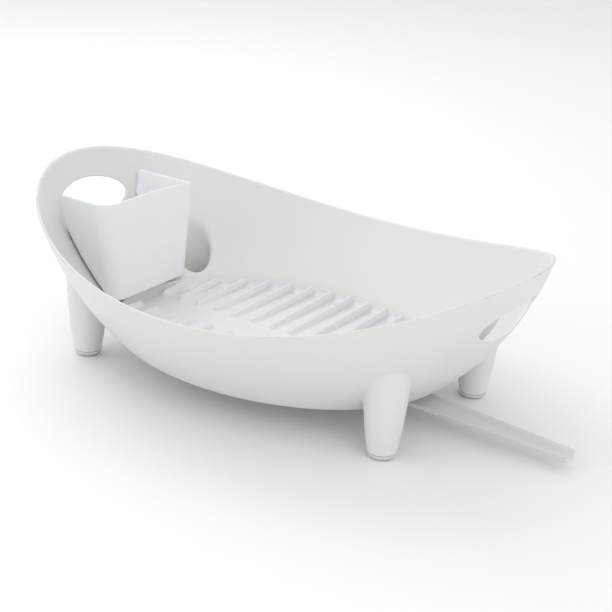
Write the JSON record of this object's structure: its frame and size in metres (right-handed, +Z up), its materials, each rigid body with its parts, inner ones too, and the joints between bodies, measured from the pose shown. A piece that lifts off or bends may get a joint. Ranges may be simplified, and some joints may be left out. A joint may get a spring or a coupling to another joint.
{
  "type": "dish drying rack",
  "caption": "Oval tub on hollow legs for draining dishes, with a ribbed tray, a lift-out cutlery cup and a swivelling drain spout.",
  "frame": {"origin": "on the ground, at the middle of the rack's overall length and width", "axes": "+X along the tub towards the spout's tip, +Y across the tub to its back, +Z up"},
  "size_m": [0.523, 0.33, 0.156],
  "materials": {
    "tub_plastic": "smooth white moulded plastic, satin gloss",
    "tray_plastic": "smooth white moulded plastic, satin gloss",
    "cup_plastic": "smooth white moulded plastic, satin gloss",
    "spout_plastic": "smooth white moulded plastic, satin gloss",
    "pad_rubber": "soft off-white rubber, matt",
    "seal_rubber": "soft grey rubber, matt"
  },
  "bodies": {
    "tub": {"tub": "tub_plastic", "foot_pad_front_left": "pad_rubber", "foot_pad_front_right": "pad_rubber", "foot_pad_back_left": "pad_rubber", "foot_pad_back_right": "pad_rubber"},
    "tray": {"drain_tray": "tray_plastic"},
    "cup": {"cutlery_cup": "cup_plastic"},
    "spout": {"drain_spout": "spout_plastic", "spout_seal": "seal_rubber", "spout_collar": "spout_plastic"}
  },
  "joints": [
    {"name": "spout_swing", "type": "hinge", "parent": "tub", "child": "spout", "pos_m": [0.0685, 0, 0.0256], "axis": [0, 0, 1], "range_deg": [-28, 28]},
    {"name": "tray_lift", "type": "slide", "parent": "tub", "child": "tray", "axis": [0, 0, 1], "range_m": [0, 0.13]},
    {"name": "cup_lift", "type": "slide", "parent": "tray", "child": "cup", "axis": [0, 0, 1], "range_m": [0, 0.12]}
  ]
}
